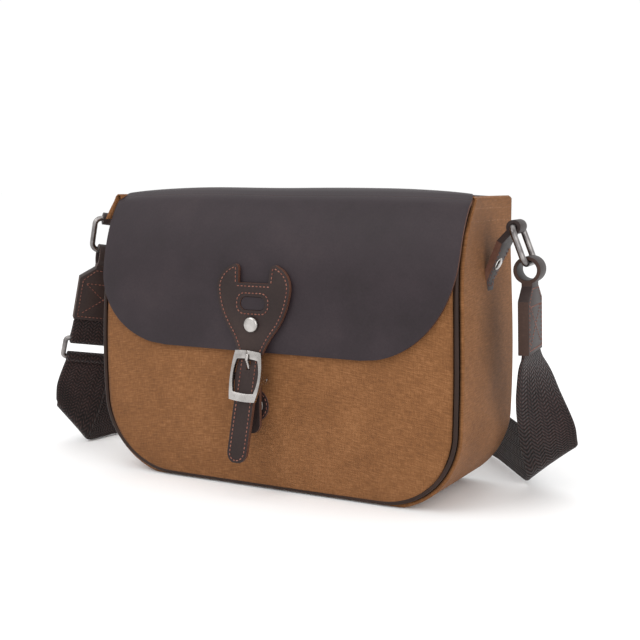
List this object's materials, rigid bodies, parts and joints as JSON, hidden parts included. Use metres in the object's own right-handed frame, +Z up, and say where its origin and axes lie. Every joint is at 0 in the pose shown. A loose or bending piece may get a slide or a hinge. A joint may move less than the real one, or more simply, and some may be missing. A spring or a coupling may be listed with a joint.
{
  "type": "camera messenger bag",
  "caption": "Small camera messenger bag with a leather flap, a buckled snap closure, padded divided insert and shoulder strap.",
  "frame": {"origin": "middle of the flat bottom that the bag stands on", "axes": "+Z up, -Y out of the front with the flap, +X towards the ring on the right seen from the front"},
  "size_m": [0.4297, 0.2364, 0.2136],
  "materials": {
    "canvas": "matte",
    "dark_leather": "satin",
    "antique_nickel": "satin",
    "webbing": "matte",
    "lining_cloth": "matte",
    "board": "matte"
  },
  "bodies": {
    "bag": {"front_panel": "canvas", "back_panel": "canvas", "gusset": "canvas", "front_piping": "dark_leather", "back_piping": "dark_leather", "lining": "lining_cloth", "base_board": "board", "insert_shell": "lining_cloth", "flap_back_strip": "dark_leather", "snap_patch": "dark_leather", "snap_socket": "antique_nickel", "left_ring_tab": "dark_leather", "right_ring_tab": "dark_leather", "strap_webbing": "webbing", "strap_webbing_return": "webbing"},
    "flap_lid": {"flap_top": "dark_leather"},
    "flap_face": {"flap_front": "dark_leather", "closure_strap": "dark_leather", "patch_inlay": "dark_leather", "patch_rivet": "antique_nickel", "rivet_washer": "antique_nickel", "buckle_frame": "antique_nickel", "heel_bar": "antique_nickel", "snap_chape": "dark_leather", "snap_stud": "antique_nickel"},
    "prong": {"buckle_prong": "antique_nickel"},
    "left_ring": {"left_ring": "antique_nickel"},
    "right_ring": {"right_ring": "antique_nickel"},
    "left_end": {"left_strap_end": "dark_leather", "short_webbing": "webbing"},
    "adjuster": {"adjuster_ring": "antique_nickel"},
    "right_end": {"right_strap_end": "dark_leather"},
    "slider": {"strap_slider": "antique_nickel"},
    "left_divider": {"left_divider": "lining_cloth"},
    "right_divider": {"right_divider": "lining_cloth"}
  },
  "joints": [
    {"name": "flap_hinge", "type": "hinge", "parent": "bag", "child": "flap_lid", "pos_m": [0, 0.05125, 0.205], "axis": [-1, 0, 0], "range_deg": [0, 150]},
    {"name": "flap_fold", "type": "hinge", "parent": "flap_lid", "child": "flap_face", "pos_m": [0, -0.03538, 0.20361], "axis": [-1, 0, 0], "range_deg": [0, 75]},
    {"name": "prong_hinge", "type": "hinge", "parent": "flap_face", "child": "prong", "pos_m": [-0.00644, -0.06238, 0.08112], "axis": [0.999, -0.0085, -0.0428], "range_deg": [0, 12]},
    {"name": "left_ring_swing", "type": "hinge", "parent": "bag", "child": "left_ring", "pos_m": [-0.17, -0.003, 0.186], "axis": [0.6365, 0.7586, -0.1391], "range_deg": [-7, 18], "deforming": ["strap_webbing", "strap_webbing_return"]},
    {"name": "left_end_swing", "type": "hinge", "parent": "left_ring", "child": "left_end", "pos_m": [-0.17435, -0.00394, 0.16099], "axis": [0.6365, 0.7586, -0.1391], "range_deg": [-18, 7], "deforming": ["strap_webbing", "strap_webbing_return"]},
    {"name": "adjuster_swing", "type": "hinge", "parent": "left_end", "child": "adjuster", "pos_m": [-0.1981, 0.00245, 0.08713], "axis": [0.6365, 0.7586, -0.1391], "range_deg": [-8, 8], "deforming": ["strap_webbing", "strap_webbing_return"]},
    {"name": "right_ring_swing", "type": "hinge", "parent": "bag", "child": "right_ring", "pos_m": [0.162, -0.001, 0.187], "axis": [-0.1, 0.995, 0], "range_deg": [-18, 18], "deforming": ["strap_webbing", "strap_webbing_return"]},
    {"name": "right_end_swing", "type": "hinge", "parent": "right_ring", "child": "right_end", "pos_m": [0.1713, -0.00007, 0.16338], "axis": [-0.1, 0.995, 0], "range_deg": [-18, 18], "deforming": ["strap_webbing", "strap_webbing_return"]},
    {"name": "slider_slide", "type": "slide", "parent": "bag", "child": "slider", "axis": [1, 0, 0], "range_m": [-0.03, 0.03], "deforming": ["strap_webbing", "strap_webbing_return"]},
    {"name": "left_divider_slide", "type": "slide", "parent": "bag", "child": "left_divider", "axis": [1, 0, 0], "range_m": [-0.015, 0.015]},
    {"name": "right_divider_slide", "type": "slide", "parent": "bag", "child": "right_divider", "axis": [1, 0, 0], "range_m": [-0.015, 0.015]}
  ],
  "couplings": [
    {"joint": "left_end_swing", "follows": "left_ring_swing", "ratio": -1},
    {"joint": "right_end_swing", "follows": "right_ring_swing", "ratio": -1}
  ]
}
